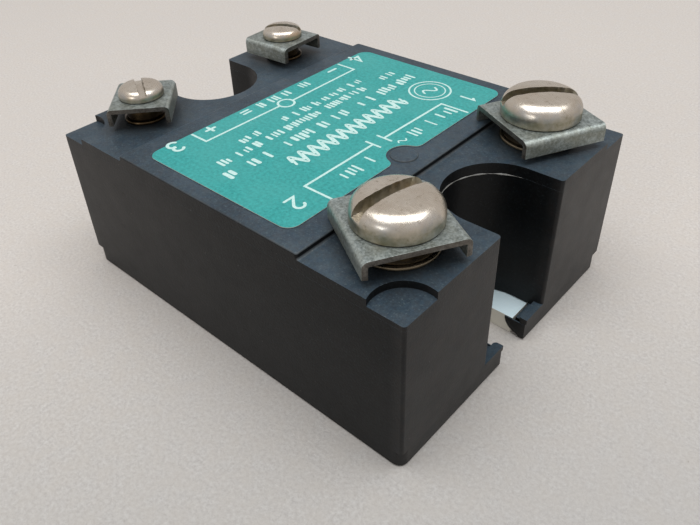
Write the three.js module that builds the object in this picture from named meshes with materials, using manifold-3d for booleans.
// Solid state relay: a panel-mount power module with two load terminals and two control terminals.
// Millimetres, +Z up. The origin is under the middle of the base, on the mounting surface.
// +X points to the end with load terminals 1 and 2; terminals 3 and 4 are at the -X end.
import * as THREE from 'three';
import { mergeVertices } from 'three/addons/utils/BufferGeometryUtils.js';
import Module from 'manifold-3d';

const wasm = await Module();
wasm.setup();

// ---------- driving dimensions ----------

const BODY = { length: 58.4, width: 45.7, corner: 0.4, standoff: 0.2, wall: 2.4 };
const HEIGHT = { plinth: 2.75, lip: 3.5, seam: 20.9, ledge: 22.4, platform: 23.2 };
const BAND = { top: 2.6, inset: 0.15, corner: 1.2 };
const SLOT = { radius: 6.6, centre: 24.8, wall: 1.8, mouthEdge: 0.45 };
const LIP = { thickness: 1.8, ledge: 1.2, mouth: 5.6, mouthCorner: 0.5 };
const PLATE = { thickness: 2.6, slotWidth: 6, holePitch: 47.6 };
const PLATFORM = { length: 31.2, corner: 0.3 };
const RECESS = { radius: 3.75, x: 28.1, y: 21.4, depth: 0.9 };
const BOSS = { x: 12.2, y: -1, radius: 1.75, height: 0.3 };
const LID = { skirtDepth: 1.5, skirtWall: 1.1 };
const LABEL = { length: 25, width: 41.4, corner: 1.6, thickness: 0.15, notch: 2.4, notchEdge: 1.1 };

const GAP = 0.3;        // room left round a piece that passes through another
const SEAT = 0.15;      // room left between pieces that rest face to face
const SKIN = 0.02;      // room left under the stuck-on label and the screw heads

// Terminal 1 is at (+X, +Y), 2 at (+X, -Y), 3 at (-X, -Y) and 4 at (-X, +Y).
// turn is the direction of the clamp's folded legs, driver that of the screw's slot, in degrees.
// slotShift is how far off the head's middle that slot is cut.
const LOAD = {
    x: 21.5, y: 14.25, top: 25.5,
    collar: 4.7, body: 3.7, bore: 2.8, tail: 12.9,
    clamp: { along: 11.2, across: 11.4, sheet: 0.65, height: 2.2, hole: 2.9, fold: 0.8 },
    screw: {
        head: 4.9, rise: 3.15, crown: 18, shoulder: 1.9,
        shank: 2.45, length: 10, slot: 1.5, slotDepth: 1.75,
    },
};
const CONTROL = {
    x: 23.2, y: 13.4, top: 25.6,
    collar: 2.85, body: 2.5, bore: 2.05, tail: 13.2,
    clamp: { along: 8.6, across: 8.2, sheet: 0.6, height: 2.3, hole: 2.1, fold: 0.7 },
    screw: {
        head: 3.05, rise: 1.75, crown: 9, shoulder: 1.1,
        shank: 1.7, length: 8, slot: 1, slotDepth: 0.95,
    },
};
const TERMINALS = [
    { number: 1, type: LOAD, x: LOAD.x, y: LOAD.y, turn: 62.5, driver: 42, slotShift: 0.15 },
    { number: 2, type: LOAD, x: LOAD.x, y: -LOAD.y, turn: -30.5, driver: 78.5, slotShift: 0.7 },
    { number: 3, type: CONTROL, x: -CONTROL.x, y: -CONTROL.y, turn: -43.5, driver: -28, slotShift: 0 },
    { number: 4, type: CONTROL, x: -CONTROL.x, y: CONTROL.y, turn: 3, driver: 34, slotShift: 0 },
];

// Power stage, stacked upwards from the base plate.
const SUBSTRATE = { x: 1, length: 26, width: 32, thickness: 0.6 };
const PAD = { x: 1, length: 23, y: 8.25, width: 12.5, thickness: 0.3 };
const CHIP = { x: 4.5, size: 7, thickness: 0.4 };
const CLIP = { width: 3, thickness: 0.4, rise: 0.8 };
const STRAP = { inner: 9.8, riser: 13, outer: 24, y: 12.3, width: 4, thickness: 0.8 };
const GEL = { bottom: 6, top: 7.6 };

// Control board and what stands on it.
const BOARD = { bottom: 8.2, thickness: 1.6, minX: -26.2, maxX: 11.2, width: 40 };
const GATE_PIN = { x: 4.5, y: 11, radius: 0.45 };
const CONTROL_PIN = { radius: 0.6 };

const FINISH = {
    black: { color: 0x2b2a2a, roughness: 0.5, metalness: 0 },
    label: { color: 0x3fa498, roughness: 0.45, metalness: 0 },
    aluminium: { color: 0xb4c3c8, roughness: 0.35, metalness: 1 },
    nickel: { color: 0xc3b29f, roughness: 0.25, metalness: 1 },
    zinc: { color: 0x858b84, roughness: 0.45, metalness: 1 },
    brass: { color: 0xb08d4a, roughness: 0.3, metalness: 1 },
    copper: { color: 0xb06a48, roughness: 0.35, metalness: 1 },
    tinned: { color: 0xb9bcbd, roughness: 0.3, metalness: 1 },
    ceramic: { color: 0xe6e2d6, roughness: 0.7, metalness: 0 },
    silicon: { color: 0x4a4f57, roughness: 0.25, metalness: 0.3 },
    gel: { color: 0xcfd3cc, roughness: 0.25, metalness: 0 },
    board: { color: 0x2f6b3c, roughness: 0.5, metalness: 0 },
    epoxy: { color: 0x1d1d1f, roughness: 0.45, metalness: 0 },
    resistor: { color: 0xb99a6b, roughness: 0.5, metalness: 0 },
    capacitor: { color: 0xc9a227, roughness: 0.45, metalness: 0 },
};

// ---------- geometry helpers ----------

// A closed solid from any closed three.js geometry.
function solid(geometry) {
    const bare = geometry.clone();
    bare.deleteAttribute('normal');
    bare.deleteAttribute('uv');
    const merged = mergeVertices(bare, 1e-4);
    const mesh = new wasm.Mesh({
        numProp: 3,
        vertProperties: new Float32Array(merged.attributes.position.array),
        triVerts: new Uint32Array(merged.index.array),
    });
    return new wasm.Manifold(mesh);
}

// A three.js geometry from a solid.
function toGeometry(body) {
    const mesh = body.getMesh();
    const geometry = new THREE.BufferGeometry();
    geometry.setAttribute('position', new THREE.BufferAttribute(new Float32Array(mesh.vertProperties), 3));
    geometry.setIndex(new THREE.BufferAttribute(new Uint32Array(mesh.triVerts), 1));
    geometry.computeVertexNormals();
    return geometry;
}

const radians = THREE.MathUtils.degToRad;

// Points on an arc, from one angle to another in degrees, both ends included.
function arc(x, y, radius, from, to, steps) {
    const points = [];
    for (let i = 0; i <= steps; i += 1) {
        const angle = radians(from + ((to - from) * i) / steps);
        points.push(new THREE.Vector2(x + radius * Math.cos(angle), y + radius * Math.sin(angle)));
    }
    return points;
}

function prism(points, bottom, top) {
    const shape = new THREE.Shape(points);
    const geometry = new THREE.ExtrudeGeometry(shape, { depth: top - bottom, bevelEnabled: false });
    geometry.translate(0, 0, bottom);
    return solid(geometry);
}

function box(minX, maxX, minY, maxY, bottom, top) {
    const geometry = new THREE.BoxGeometry(maxX - minX, maxY - minY, top - bottom);
    geometry.translate((minX + maxX) / 2, (minY + maxY) / 2, (bottom + top) / 2);
    return solid(geometry);
}

function plate(x, y, length, width, bottom, top) {
    return box(x - length / 2, x + length / 2, y - width / 2, y + width / 2, bottom, top);
}

function cylinder(x, y, radius, bottom, top, sides = 32) {
    const geometry = new THREE.CylinderGeometry(radius, radius, top - bottom, sides);
    geometry.rotateX(Math.PI / 2);
    geometry.translate(x, y, (bottom + top) / 2);
    return solid(geometry);
}

// A turned piece about +Z from [radius, height] pairs that run from the axis at the bottom to the top.
function turned(profile, sides = 32) {
    const points = profile.map(([radius, height]) => new THREE.Vector2(radius, height));
    const geometry = new THREE.LatheGeometry(points, sides);
    geometry.rotateX(Math.PI / 2);
    return solid(geometry);
}

function roundedRectangle(length, width, radius) {
    const x = length / 2 - radius;
    const y = width / 2 - radius;
    return [
        ...arc(x, y, radius, 0, 90, 4),
        ...arc(-x, y, radius, 90, 180, 4),
        ...arc(-x, -y, radius, 180, 270, 4),
        ...arc(x, -y, radius, 270, 360, 4),
    ];
}

// The relay's plan: a rectangle with rounded corners and a U-shaped slot in the middle of each end.
function bodyOutline({ inset = 0, slotRadius = SLOT.radius, edge = SLOT.mouthEdge } = {}) {
    const x = BODY.length / 2 - inset;
    const y = BODY.width / 2 - inset;
    const corner = BODY.corner;
    const half = [
        ...arc(x - edge, slotRadius + edge, edge, -90, 0, 3),
        ...arc(x - corner, y - corner, corner, 0, 90, 4),
        ...arc(-x + corner, y - corner, corner, 90, 180, 4),
        ...arc(-x + edge, slotRadius + edge, edge, 180, 270, 3),
        ...arc(-SLOT.centre, 0, slotRadius, 90, 0, 10),
    ];
    const otherHalf = half.map((point) => point.clone().multiplyScalar(-1));
    return [...half.slice(0, -1), new THREE.Vector2(-SLOT.centre + slotRadius, 0),
        ...arc(-SLOT.centre, 0, slotRadius, 0, -90, 10).slice(1),
        ...otherHalf.slice(0, -11),
        ...arc(SLOT.centre, 0, slotRadius, -90, -270, 20)];
}

// Both ends of the relay are alike, so end features are made at +X and copied to -X.
function atBothEnds(make) {
    return make(1).add(make(-1));
}

// ---------- case ----------

function makeBasePlate() {
    const length = BODY.length - 2 * (LIP.thickness + GAP);
    const width = BODY.width - 2 * (LIP.thickness + GAP);
    const blank = prism(roundedRectangle(length, width, 1), 0, PLATE.thickness);
    const radius = PLATE.slotWidth / 2;
    const slots = atBothEnds((end) => {
        const inner = (end * PLATE.holePitch) / 2;
        const outer = end * BODY.length;
        const [minX, maxX] = [Math.min(inner, outer), Math.max(inner, outer)];
        const run = box(minX, maxX, -radius, radius, -1, PLATE.thickness + 1);
        return run.add(cylinder(inner, 0, radius, -1, PLATE.thickness + 1));
    });
    return blank.subtract(slots);
}

function makeHousing() {
    const { plinth, lip, seam } = HEIGHT;
    const walls = prism(bodyOutline(), BAND.top, seam);
    const foot = prism(roundedRectangle(BODY.length, BODY.width, BODY.corner), BAND.top, lip);
    const band = prism(
        roundedRectangle(BODY.length - 2 * BAND.inset, BODY.width - 2 * BAND.inset, BAND.corner),
        BODY.standoff,
        BAND.top + 0.4,
    );
    const pocketLength = BODY.length - 2 * LIP.thickness;
    const pocketWidth = BODY.width - 2 * LIP.thickness;
    const platePocket = prism(roundedRectangle(pocketLength, pocketWidth, 1), -1, plinth);
    const cavity = prism(cavityOutline(BODY.wall), plinth - 1, seam + 1);
    const slotFloor = atBothEnds((end) => {
        const outline = [
            ...arc(SLOT.centre, 0, SLOT.radius, 90, 270, 20),
            new THREE.Vector2(BODY.length / 2 - LIP.ledge, -SLOT.radius),
            new THREE.Vector2(BODY.length / 2 - LIP.ledge, SLOT.radius),
        ];
        const floor = prism(outline.map((point) => point.multiplyScalar(end)), plinth, lip + 1);
        const mouth = prism(mouthOutline().map((point) => point.multiplyScalar(end)), -1, lip + 1);
        return floor.add(mouth);
    });
    return band.add(foot).add(walls).subtract(platePocket).subtract(cavity).subtract(slotFloor);
}

// The opening in the lip at +X, through which a mounting screw is slid in; its inner corners are round.
function mouthOutline() {
    const half = LIP.mouth / 2;
    const radius = LIP.mouthCorner;
    const outer = BODY.length / 2 + 1;
    const inner = BODY.length / 2 - LIP.thickness;
    const corner = BODY.length / 2 - LIP.ledge + radius;
    return [
        new THREE.Vector2(inner - 1, -half - radius),
        ...arc(corner, -half - radius, radius, 180, 90, 4),
        new THREE.Vector2(outer, -half),
        new THREE.Vector2(outer, half),
        ...arc(corner, half + radius, radius, 270, 180, 4),
        new THREE.Vector2(inner - 1, half + radius),
    ];
}

// The housing's inside: inset from the outer walls and kept away from both end slots.
function cavityOutline(inset, slotWall = SLOT.wall) {
    return bodyOutline({ inset, slotRadius: SLOT.radius + slotWall, edge: 0.5 });
}

function makeLid() {
    const { seam, ledge, platform } = HEIGHT;
    const bottom = seam + SEAT;
    const cover = prism(bodyOutline(), bottom, ledge);
    const raised = prism(roundedRectangle(PLATFORM.length, BODY.width, PLATFORM.corner), bottom, platform);
    const skirtBottom = bottom - LID.skirtDepth;
    const skirtInset = BODY.wall + GAP;
    const skirt = prism(cavityOutline(skirtInset, SLOT.wall + GAP), skirtBottom, bottom + 0.5);
    const hollow = prism(
        cavityOutline(skirtInset + LID.skirtWall, SLOT.wall + GAP + LID.skirtWall),
        skirtBottom - 1,
        bottom,
    );
    let lid = cover.add(raised).add(skirt).subtract(hollow);
    for (const side of [1, -1]) {
        const recesses = atBothEnds((end) => cylinder(
            end * RECESS.x,
            side * RECESS.y,
            RECESS.radius,
            ledge - RECESS.depth,
            ledge + 1,
        ));
        lid = lid.subtract(recesses);
    }
    for (const { type, x, y } of TERMINALS) {
        lid = lid.subtract(cylinder(x, y, type.body + GAP, skirtBottom - 1, platform + 1));
    }
    return lid.add(cylinder(BOSS.x, BOSS.y, BOSS.radius, ledge, platform + BOSS.height, 24));
}

// The label stops short of the lid's boss: a round bite with eased corners in its +X edge.
function makeLabel() {
    const x = LABEL.length / 2;
    const y = LABEL.width / 2;
    const { corner, notch, notchEdge } = LABEL;
    // Each eased corner is an arc that is tangent to the label's edge and to the bite.
    const tilt = THREE.MathUtils.radToDeg(Math.asin(notchEdge / (notch + notchEdge)));
    const offset = Math.sqrt(notch ** 2 + 2 * notch * notchEdge);
    const outline = [
        ...arc(x - corner, y - corner, corner, 0, 90, 5),
        ...arc(-x + corner, y - corner, corner, 90, 180, 5),
        ...arc(-x + corner, -y + corner, corner, 180, 270, 5),
        ...arc(x - corner, -y + corner, corner, 270, 360, 5),
        ...arc(x - notchEdge, BOSS.y - offset, notchEdge, 0, 90 - tilt, 4),
        ...arc(x, BOSS.y, notch, 270 - tilt, 90 + tilt, 14).slice(1, -1),
        ...arc(x - notchEdge, BOSS.y + offset, notchEdge, 270 + tilt, 360, 4),
    ];
    const bottom = HEIGHT.platform + SKIN;
    return prism(outline, bottom, bottom + LABEL.thickness);
}

// ---------- terminals, each made on its own axis ----------

function makeInsert(type) {
    const collarTop = type.top - type.clamp.sheet - SKIN;
    const boreBottom = type.top - type.screw.length - 1.2;
    return turned([
        [0, type.tail],
        [type.body, type.tail],
        [type.body, HEIGHT.ledge + SKIN],
        [type.collar, HEIGHT.ledge + SKIN],
        [type.collar, collarTop - 0.2],
        [type.collar - 0.2, collarTop],
        [type.bore, collarTop],
        [type.bore, boreBottom],
        [0, boreBottom],
    ]);
}

// A saddle: a square plate with two opposite edges folded down.
function makeClamp(type) {
    const { along, across, sheet, height, hole, fold } = type.clamp;
    const y = across / 2;
    const bottom = type.top - height;
    const inside = type.top - sheet;
    const section = [
        ...arc(y - fold, type.top - fold, fold, 0, 90, 5),
        ...arc(-y + fold, type.top - fold, fold, 90, 180, 5),
        new THREE.Vector2(-y, bottom),
        new THREE.Vector2(-y + sheet, bottom),
        new THREE.Vector2(-y + sheet, inside),
        new THREE.Vector2(y - sheet, inside),
        new THREE.Vector2(y - sheet, bottom),
        new THREE.Vector2(y, bottom),
    ];
    const shape = new THREE.Shape(section);
    const geometry = new THREE.ExtrudeGeometry(shape, { depth: along, bevelEnabled: false });
    // The section's x and y become the saddle's y and z, and the extrusion runs along x.
    geometry.rotateX(Math.PI / 2);
    geometry.rotateZ(Math.PI / 2);
    geometry.translate(-along / 2, 0, 0);
    return solid(geometry).subtract(cylinder(0, 0, hole, bottom - 1, type.top + 1, 28));
}

// A slotted screw. The head's low crown runs into its side over a round shoulder, tangent to both.
function makeScrew(type, slotShift) {
    const { head, rise, crown, shoulder, shank, length, slot, slotDepth } = type.screw;
    const seat = type.top + SKIN;
    const top = seat + rise;
    const lean = THREE.MathUtils.radToDeg(Math.asin((head - shoulder) / (crown - shoulder)));
    const shoulderHeight = top - crown + (crown - shoulder) * Math.cos(radians(lean));
    const dome = [
        ...arc(head - shoulder, shoulderHeight, shoulder, 0, 90 - lean, 6),
        ...arc(0, top - crown, crown, 90 - lean, 90, 3).slice(1),
    ].map(({ x, y }) => [x, y]);
    dome[dome.length - 1][0] = 0;
    const body = turned([
        [0, seat - length],
        [shank - 0.5, seat - length],
        [shank, seat - length + 0.5],
        [shank, seat],
        [head - 0.15, seat],
        [head, seat + 0.15],
        ...dome,
    ]);
    return body.subtract(plate(0, slotShift, 3 * head, slot, top - slotDepth, top + 1));
}

// ---------- power stage ----------

const LEVEL = {};
LEVEL.substrate = PLATE.thickness + SEAT;
LEVEL.pad = LEVEL.substrate + SUBSTRATE.thickness + SEAT;
LEVEL.chip = LEVEL.pad + PAD.thickness + SEAT;
LEVEL.clip = LEVEL.chip + CHIP.thickness + SEAT;
LEVEL.board = BOARD.bottom + BOARD.thickness;

function makeSubstrate() {
    const { x, length, width, thickness } = SUBSTRATE;
    return plate(x, 0, length, width, LEVEL.substrate, LEVEL.substrate + thickness);
}

function makePad(side) {
    return plate(PAD.x, side * PAD.y, PAD.length, PAD.width, LEVEL.pad, LEVEL.pad + PAD.thickness);
}

// The two thyristors stand at opposite ends of their pads, so that their clips pass side by side.
function chipX(side) {
    return PAD.x - side * CHIP.x;
}

function makeChip(side) {
    return plate(chipX(side), side * PAD.y, CHIP.size, CHIP.size, LEVEL.chip, LEVEL.chip + CHIP.thickness);
}

// A bridge from one chip's top, over the gap between the pads, to the other pad.
function makeClip(side) {
    const chipEnd = PAD.y - 1;
    const padEnd = -PAD.y + 2;
    const low = LEVEL.chip;
    const high = LEVEL.clip + CLIP.rise;
    const section = [
        [chipEnd + 1.5, LEVEL.clip], [chipEnd + 1.5, LEVEL.clip + CLIP.thickness],
        [chipEnd - 2, LEVEL.clip + CLIP.thickness], [chipEnd - 4, high + CLIP.thickness],
        [padEnd + 3, high + CLIP.thickness], [padEnd, low + CLIP.thickness],
        [padEnd - 2, low + CLIP.thickness], [padEnd - 2, low],
        [padEnd + 0.2, low], [padEnd + 3.2, high],
        [chipEnd - 4.2, high], [chipEnd - 2.2, LEVEL.clip],
    ];
    return extrudedAcross(section.map(([y, z]) => [side * y, z]), chipX(side), CLIP.width);
}

// A section in the YZ plane, given as [y, z] pairs, made into a bar centred on x.
function extrudedAcross(section, x, width) {
    const shape = new THREE.Shape(section.map(([y, z]) => new THREE.Vector2(y, z)));
    const geometry = new THREE.ExtrudeGeometry(shape, { depth: width, bevelEnabled: false });
    geometry.rotateX(Math.PI / 2);
    geometry.rotateZ(Math.PI / 2);
    geometry.translate(x - width / 2, 0, 0);
    return solid(geometry);
}

// A Z-shaped copper strap from a pad up to the underside of a load terminal's insert.
function makeLoadStrap(side) {
    const { inner, riser, outer, y, width, thickness } = STRAP;
    const foot = LEVEL.chip;
    const tab = LOAD.tail - SEAT - thickness;
    const at = side * y;
    const back = riser - thickness;
    return plate((inner + riser) / 2, at, riser - inner, width, foot, foot + thickness)
        .add(plate((back + riser) / 2, at, thickness, width, foot, tab + thickness))
        .add(plate((back + outer) / 2, at, outer - back, width, tab, tab + thickness));
}

function makeGatePin(side) {
    const x = chipX(side);
    const y = side * GATE_PIN.y;
    return cylinder(x, y, GATE_PIN.radius, LEVEL.clip, BOARD.bottom - SEAT, 12);
}

// Soft potting over the power stage, with room for what passes up through it.
function makeGel() {
    let gel = prism(cavityOutline(BODY.wall + GAP, SLOT.wall + GAP), GEL.bottom, GEL.top);
    for (const side of [1, -1]) {
        const { riser, y, width, thickness } = STRAP;
        const strapX = riser - thickness / 2;
        const strapRoom = plate(strapX, side * y, thickness + 2 * GAP, width + 2 * GAP, 0, BOARD.bottom);
        const pinRadius = GATE_PIN.radius + GAP;
        const pinRoom = cylinder(chipX(side), side * GATE_PIN.y, pinRadius, 0, BOARD.bottom, 12);
        gel = gel.subtract(strapRoom).subtract(pinRoom);
    }
    return gel;
}

// ---------- control board ----------

function makeBoard() {
    const { bottom, minX, maxX, width } = BOARD;
    const blank = box(minX, maxX, -width / 2, width / 2, bottom, LEVEL.board);
    const clearance = SLOT.radius + SLOT.wall + 2 * GAP;
    const slotRoom = cylinder(-SLOT.centre, 0, clearance, bottom - 1, LEVEL.board + 1, 24)
        .add(box(-BODY.length, -SLOT.centre, -clearance, clearance, bottom - 1, LEVEL.board + 1));
    return blank.subtract(slotRoom);
}

function makeControlPin({ type }) {
    return cylinder(0, 0, CONTROL_PIN.radius, LEVEL.board + SEAT, type.tail - SEAT, 16);
}

// A six-legged optocoupler with its long side along Y.
function makeOptocoupler() {
    const seat = LEVEL.board + SEAT;
    let package_ = plate(0, 0, 6.4, 8.6, seat + 0.6, seat + 3.8);
    for (const x of [-3.6, 3.6]) {
        for (const y of [-2.54, 0, 2.54]) {
            const leg = plate(x, y, 0.3, 0.6, seat, seat + 2.3);
            const shoulder = plate(x * 0.94, y, 0.8, 1.2, seat + 1.9, seat + 2.3);
            package_ = package_.add(leg).add(shoulder);
        }
    }
    return package_;
}

// An axial component lying along Y, its leads bent down to the board.
function makeAxial(radius, length, wire = 0.4) {
    const seat = LEVEL.board + SEAT;
    const axis = seat + radius + 0.4;
    const reach = length / 2 + 1.6;
    const waist = radius * 0.82;
    const profile = [
        [0, -length / 2], [radius * 0.6, -length / 2], [radius, -length / 2 + 0.6], [radius, -length / 4],
        [waist, -length / 4 + 0.5], [waist, length / 4 - 0.5], [radius, length / 4],
        [radius, length / 2 - 0.6], [radius * 0.6, length / 2], [0, length / 2],
    ];
    let part = turned(profile, 20).rotate([90, 0, 0]).translate([0, 0, axis]);
    part = part.add(plate(0, 0, wire * 2, 2 * reach, axis - wire, axis + wire));
    for (const y of [-reach + wire, reach - wire]) {
        part = part.add(plate(0, y, wire * 2, wire * 2, seat, axis + wire));
    }
    return part;
}

// A small transistor: a D-shaped body on three straight legs.
function makeTransistor() {
    const seat = LEVEL.board + SEAT;
    const outline = [...arc(0, 0, 2.3, 215, 505, 16)];
    let part = prism(outline, seat + 1.2, seat + 5.8);
    for (const x of [-1.27, 0, 1.27]) {
        part = part.add(plate(x, 0, 0.45, 0.45, seat, seat + 2));
    }
    return part;
}

function makeCapacitor() {
    const seat = LEVEL.board + SEAT;
    const body = prism(roundedRectangle(5, 13, 0.5), seat + 0.5, seat + 8.5);
    return body.add(plate(0, 5, 0.6, 0.6, seat, seat + 1)).add(plate(0, -5, 0.6, 0.6, seat, seat + 1));
}

// ---------- assembly ----------

const group = new THREE.Group();
group.name = 'solid_state_relay';

// Adds one named piece, placed by x, y and a turn about +Z in degrees.
function addPiece(name, body, finish, { x = 0, y = 0, turn = 0 } = {}) {
    const mesh = new THREE.Mesh(toGeometry(body), new THREE.MeshStandardMaterial(finish));
    mesh.name = name;
    mesh.position.set(x, y, 0);
    mesh.rotation.z = radians(turn);
    group.add(mesh);
}

addPiece('base_plate', makeBasePlate(), FINISH.aluminium);
addPiece('housing', makeHousing(), FINISH.black);
addPiece('lid', makeLid(), FINISH.black);
addPiece('label', makeLabel(), FINISH.label);

for (const terminal of TERMINALS) {
    const { number, type, x, y, turn, driver, slotShift } = terminal;
    addPiece(`terminal_insert_${number}`, makeInsert(type), FINISH.brass, { x, y });
    addPiece(`wire_clamp_${number}`, makeClamp(type), FINISH.zinc, { x, y, turn });
    addPiece(`terminal_screw_${number}`, makeScrew(type, slotShift), FINISH.nickel, { x, y, turn: driver });
    if (type === CONTROL) {
        addPiece(`control_pin_${number}`, makeControlPin(terminal), FINISH.tinned, { x, y });
    }
}

addPiece('ceramic_substrate', makeSubstrate(), FINISH.ceramic);
for (const [number, side] of [[1, 1], [2, -1]]) {
    addPiece(`copper_pad_${number}`, makePad(side), FINISH.copper);
    addPiece(`thyristor_chip_${number}`, makeChip(side), FINISH.silicon);
    addPiece(`cathode_clip_${number}`, makeClip(side), FINISH.copper);
    addPiece(`load_strap_${number}`, makeLoadStrap(side), FINISH.copper);
    addPiece(`gate_pin_${number}`, makeGatePin(side), FINISH.tinned);
}
addPiece('silicone_gel', makeGel(), FINISH.gel);

addPiece('circuit_board', makeBoard(), FINISH.board);
addPiece('optocoupler', makeOptocoupler(), FINISH.epoxy, { x: -4, y: 0 });
addPiece('input_resistor', makeAxial(1.2, 6.5), FINISH.resistor, { x: -11.5, y: 4 });
addPiece('current_limit_transistor', makeTransistor(), FINISH.epoxy, { x: -12, y: -7, turn: 90 });
addPiece('gate_resistor', makeAxial(1.2, 6.5), FINISH.resistor, { x: 3.5, y: 0 });
addPiece('snubber_resistor', makeAxial(2.2, 11), FINISH.resistor, { x: 4, y: 12.5 });
addPiece('snubber_capacitor', makeCapacitor(), FINISH.capacitor, { x: 4, y: -12 });

export default group;
